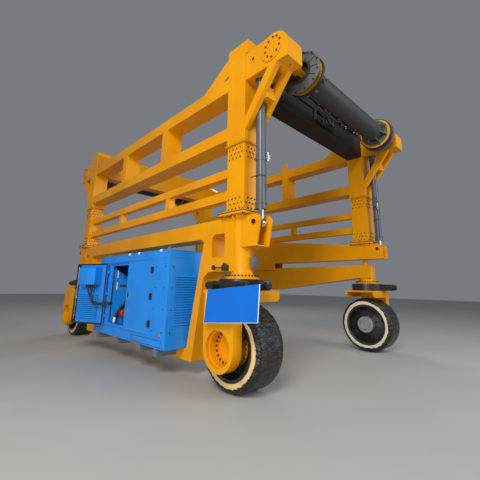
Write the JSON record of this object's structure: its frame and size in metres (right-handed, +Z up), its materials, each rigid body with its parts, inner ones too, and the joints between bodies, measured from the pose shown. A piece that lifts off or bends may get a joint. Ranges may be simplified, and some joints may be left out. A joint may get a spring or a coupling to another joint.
{
  "type": "straddle carrier",
  "caption": "Four-wheel straddle carrier: two side frames on steered wheels, a lifting upper frame on masts, hoist drums across both ends and a generator set in a canopy on one side.",
  "frame": {"origin": "on the floor below the middle of the machine's bounding box", "axes": "+X to the front, +Y to the left side, +Z up; the generator hangs on the right side"},
  "size_m": [9.41, 6.1856, 5.8348],
  "materials": {
    "frame_yellow": "gloss paint on welded plate",
    "pad_plastic": "dark wear plastic",
    "rod_chrome": "hard chrome",
    "canopy_blue": "satin paint on sheet",
    "engine_iron": "dark painted casting",
    "beam_dark": "satin dark paint",
    "cylinder_grey": "satin grey paint",
    "drum_grey": "dark grey paint",
    "slew_black": "black paint",
    "rim_black": "black paint",
    "tyre_rubber": "rubber under shipping film",
    "sign_blue": "blank printed sheet"
  },
  "bodies": {
    "chassis": {"side_frame_right": "frame_yellow", "beam_left": "frame_yellow", "rocker_left": "frame_yellow", "legs_right": "frame_yellow", "leg_heads_left": "frame_yellow", "sleeves_right": "frame_yellow", "sleeves_left": "frame_yellow", "wear_pads": "pad_plastic", "mid_rails": "frame_yellow", "lift_rods": "rod_chrome", "generator_skid": "canopy_blue", "generator_canopy": "canopy_blue", "generator_engine": "engine_iron", "generator_panel": "canopy_blue"},
    "upper_frame": {"masts_right": "frame_yellow", "masts_left": "frame_yellow", "upper_frame_right": "frame_yellow", "upper_frame_left": "frame_yellow", "cross_beam_front": "beam_dark", "cross_beam_rear": "frame_yellow", "hoist_arms_front": "frame_yellow", "hoist_arms_rear": "frame_yellow", "lift_barrels": "cylinder_grey"},
    "hoist_front": {"drum_front": "drum_grey"},
    "hoist_rear": {"drum_rear": "drum_grey"},
    "rear_door": {"door_rear": "canopy_blue", "control_box": "canopy_blue"},
    "front_door": {"door_front": "canopy_blue"},
    "steer_front_right": {"yoke_front_right": "frame_yellow", "slew_front_right": "slew_black", "sign_plate": "sign_blue"},
    "wheel_front_right": {"rim_front_right": "rim_black", "tyre_front_right": "tyre_rubber"},
    "steer_front_left": {"yoke_front_left": "frame_yellow", "slew_front_left": "slew_black"},
    "wheel_front_left": {"rim_front_left": "rim_black", "tyre_front_left": "tyre_rubber"},
    "steer_rear_right": {"yoke_rear_right": "frame_yellow", "slew_rear_right": "slew_black"},
    "wheel_rear_right": {"rim_rear_right": "rim_black", "tyre_rear_right": "tyre_rubber"},
    "steer_rear_left": {"yoke_rear_left": "frame_yellow", "slew_rear_left": "slew_black"},
    "wheel_rear_left": {"rim_rear_left": "rim_black", "tyre_rear_left": "tyre_rubber"}
  },
  "joints": [
    {"name": "lift", "type": "slide", "parent": "chassis", "child": "upper_frame", "axis": [0, 0, 1], "range_m": [0, 0.75]},
    {"name": "drum_front_spin", "type": "hinge", "parent": "upper_frame", "child": "hoist_front", "pos_m": [4.31, 0.31278, 5.27], "axis": [0, 1, 0], "continuous": true},
    {"name": "drum_rear_spin", "type": "hinge", "parent": "upper_frame", "child": "hoist_rear", "pos_m": [-4.31, 0.31278, 5.27], "axis": [0, 1, 0], "continuous": true},
    {"name": "steering_front_right", "type": "hinge", "parent": "chassis", "child": "steer_front_right", "pos_m": [3.48, -1.97722, 1.5], "axis": [0, 0, 1], "range_deg": [-90, 90]},
    {"name": "roll_front_right", "type": "hinge", "parent": "steer_front_right", "child": "wheel_front_right", "pos_m": [3.48, -1.97722, 0.63], "axis": [0, 1, 0], "continuous": true},
    {"name": "steering_front_left", "type": "hinge", "parent": "chassis", "child": "steer_front_left", "pos_m": [3.48, 2.60278, 1.5], "axis": [0, 0, 1], "range_deg": [-90, 90]},
    {"name": "roll_front_left", "type": "hinge", "parent": "steer_front_left", "child": "wheel_front_left", "pos_m": [3.48, 2.60278, 0.63], "axis": [0, 1, 0], "continuous": true},
    {"name": "steering_rear_right", "type": "hinge", "parent": "chassis", "child": "steer_rear_right", "pos_m": [-3.48, -1.97722, 1.5], "axis": [0, 0, 1], "range_deg": [-90, 90]},
    {"name": "roll_rear_right", "type": "hinge", "parent": "steer_rear_right", "child": "wheel_rear_right", "pos_m": [-3.48, -1.97722, 0.63], "axis": [0, 1, 0], "continuous": true},
    {"name": "steering_rear_left", "type": "hinge", "parent": "chassis", "child": "steer_rear_left", "pos_m": [-3.48, 2.60278, 1.5], "axis": [0, 0, 1], "range_deg": [-90, 90]},
    {"name": "roll_rear_left", "type": "hinge", "parent": "steer_rear_left", "child": "wheel_rear_left", "pos_m": [-3.48, 2.60278, 0.63], "axis": [0, 1, 0], "continuous": true},
    {"name": "rear_door_swing", "type": "hinge", "parent": "chassis", "child": "rear_door", "pos_m": [-0.26, -2.60522, 1.3], "axis": [0, 0, 1], "range_deg": [-8, 157]},
    {"name": "front_door_swing", "type": "hinge", "parent": "chassis", "child": "front_door", "pos_m": [1.7, -2.60522, 1.3], "axis": [0, 0, 1], "range_deg": [0, 110]}
  ]
}
